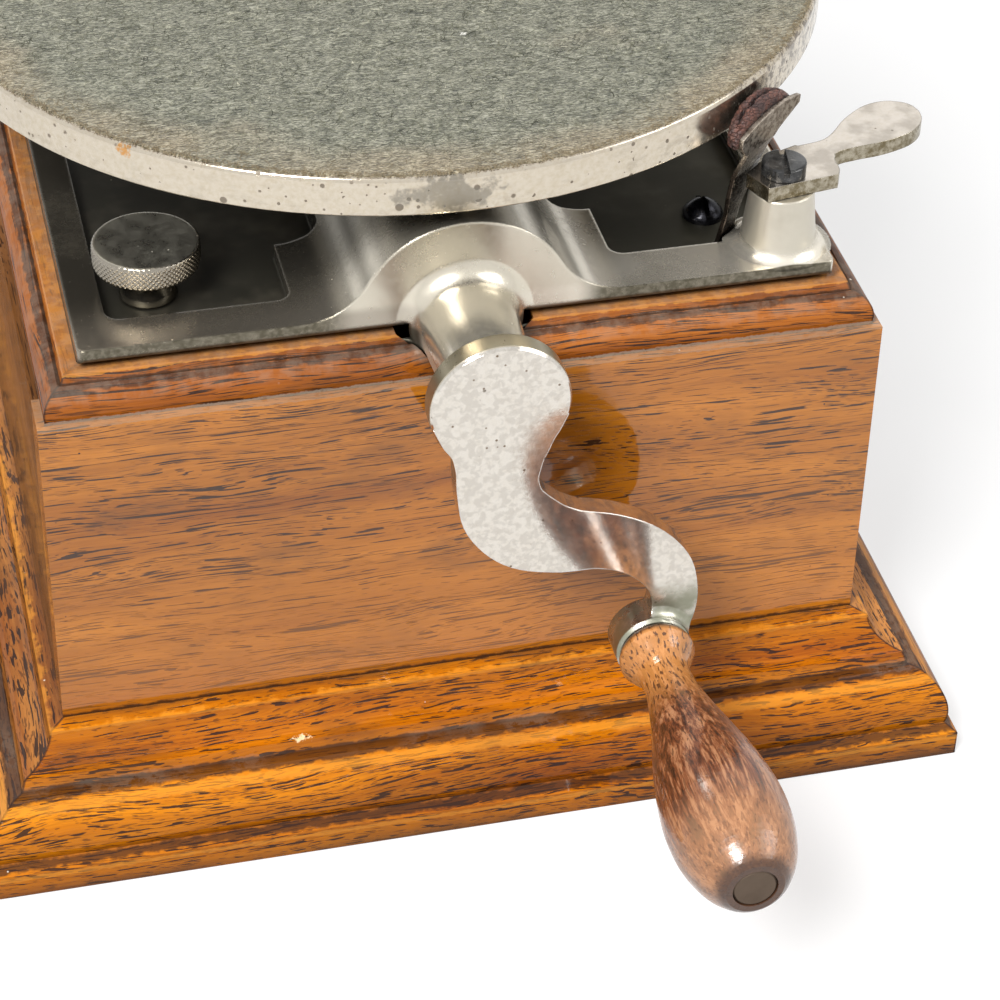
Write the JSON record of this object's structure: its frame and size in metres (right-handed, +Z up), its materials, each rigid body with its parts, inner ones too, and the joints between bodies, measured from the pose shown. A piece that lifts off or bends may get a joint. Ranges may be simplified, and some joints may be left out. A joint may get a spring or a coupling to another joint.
{
  "type": "gramophone cabinet",
  "caption": "Table-top gramophone cabinet: moulded oak case with a cast motor plate, felted turntable, side brake, speed knob and a front winding crank.",
  "frame": {"origin": "on the table surface, straight below the turntable's axis", "axes": "+Z up along the turntable's spindle; -Y towards the front, where the crank is; +X to the right, where the brake is"},
  "size_m": [0.1978, 0.2892, 0.1512],
  "materials": {
    "oak_panel": "varnished oak, honey brown",
    "oak_moulding": "varnished oak, darker and more orange",
    "nickel_plate": "worn nickel plate with freckles",
    "nickel_dull": "dulled nickel on a casting",
    "iron": "painted casting",
    "steel": "bright steel",
    "blued": "blued steel",
    "brass": "lacquered brass",
    "felt": "worn grey-green felt",
    "leather": "cracked red-brown leather",
    "handle_wood": "polished figured hardwood"
  },
  "bodies": {
    "root": {"base_moulding_front": "oak_moulding", "base_moulding_back": "oak_moulding", "base_moulding_left": "oak_moulding", "base_moulding_right": "oak_moulding", "front_panel": "oak_panel", "back_panel": "oak_panel", "left_panel": "oak_panel", "right_panel": "oak_panel", "top_moulding_front": "oak_moulding", "top_moulding_back": "oak_moulding", "top_moulding_left": "oak_moulding", "top_moulding_right": "oak_moulding", "bottom_board": "oak_panel", "corner_blocks": "oak_moulding", "bottom_screws": "steel", "motor_plate": "nickel_dull", "plate_screws": "steel", "frame_screws": "blued", "spindle_bush": "brass", "frame_plate_front": "iron", "frame_plate_rear": "iron", "frame_pillars": "steel", "footstep_bracket": "iron", "governor_bearing_left": "brass", "governor_bearing_right": "brass", "click_screw": "blued", "lever_pivot": "steel", "brake_screw": "blued"},
    "crank": {"crank_arm": "nickel_plate", "crank_shaft": "steel", "winding_pinion": "steel", "handle_pin": "steel"},
    "handle": {"crank_handle": "handle_wood"},
    "winding_arbor": {"barrel_arbor": "steel", "winding_wheel": "brass", "ratchet_wheel": "steel"},
    "click": {"winding_click": "steel"},
    "barrel": {"spring_barrel": "brass", "barrel_cover": "brass", "great_wheel": "brass", "mainspring": "steel"},
    "intermediate": {"intermediate_arbor": "steel", "contrate_wheel": "brass"},
    "platter": {"turntable": "nickel_plate", "turntable_felt": "felt", "spindle": "steel", "spindle_pinion": "brass", "governor_wheel": "brass"},
    "governor": {"governor_shaft": "steel", "governor_collar": "brass", "governor_disc": "brass", "governor_springs": "steel", "governor_weights": "brass"},
    "speed_control": {"speed_knob": "nickel_plate", "speed_spindle": "steel"},
    "speed_arm": {"speed_lever": "steel", "friction_pad": "leather"},
    "brake_finger": {"brake_lever": "nickel_plate"},
    "brake_strip": {"brake_spring": "steel", "brake_pad": "leather"}
  },
  "joints": [
    {"name": "crank_turn", "type": "hinge", "parent": "root", "child": "crank", "pos_m": [0, -0.113, 0.106], "axis": [0, 1, 0], "continuous": true},
    {"name": "handle_spin", "type": "hinge", "parent": "crank", "child": "handle", "pos_m": [0.0305, -0.1156, 0.046], "axis": [0, 1, 0], "continuous": true},
    {"name": "winding_arbor_turn", "type": "hinge", "parent": "root", "child": "winding_arbor", "pos_m": [0, -0.06, 0.07], "axis": [0, 1, 0], "continuous": true},
    {"name": "click_lift", "type": "hinge", "parent": "root", "child": "click", "pos_m": [0.01853, -0.067, 0.07014], "axis": [0, 1, 0], "range_deg": [-7, 5], "stiffness_Nm_per_rad": 0.002},
    {"name": "turntable_spin", "type": "hinge", "parent": "root", "child": "platter", "pos_m": [0, 0, 0.132], "axis": [0, 0, 1], "continuous": true},
    {"name": "barrel_turn", "type": "hinge", "parent": "root", "child": "barrel", "pos_m": [0, -0.04, 0.07], "axis": [0, 1, 0], "continuous": true},
    {"name": "intermediate_turn", "type": "hinge", "parent": "root", "child": "intermediate", "pos_m": [0, -0.04, 0.034], "axis": [0, 1, 0], "continuous": true},
    {"name": "governor_spin", "type": "hinge", "parent": "root", "child": "governor", "pos_m": [0, 0.0225, 0.08], "axis": [1, 0, 0], "continuous": true},
    {"name": "speed_knob_turn", "type": "hinge", "parent": "root", "child": "speed_control", "pos_m": [-0.0556, -0.0638, 0.11], "axis": [0, 0, 1], "range_deg": [-60, 60]},
    {"name": "speed_arm_swing", "type": "hinge", "parent": "root", "child": "speed_arm", "pos_m": [-0.0556, -0.012, 0.088], "axis": [0, 0, 1], "range_deg": [-1.3, 1.3]},
    {"name": "brake_lever_turn", "type": "hinge", "parent": "root", "child": "brake_finger", "pos_m": [0.0627, -0.0753, 0.1209], "axis": [0, 0, 1], "range_deg": [-43, 0]},
    {"name": "brake_strip_flex", "type": "hinge", "parent": "root", "child": "brake_strip", "pos_m": [0.05599, -0.06724, 0.1055], "axis": [0.7685, 0.6399, 0], "range_deg": [-4.2, 0]}
  ],
  "couplings": [
    {"joint": "winding_arbor_turn", "follows": "crank_turn", "ratio": -0.33333},
    {"joint": "barrel_turn", "follows": "turntable_spin", "ratio": -0.066667},
    {"joint": "intermediate_turn", "follows": "turntable_spin", "ratio": 0.33333},
    {"joint": "governor_spin", "follows": "turntable_spin", "ratio": 12},
    {"joint": "speed_arm_swing", "follows": "speed_knob_turn", "ratio": 0.01916},
    {"joint": "brake_strip_flex", "follows": "brake_lever_turn", "ratio": 0.09}
  ]
}
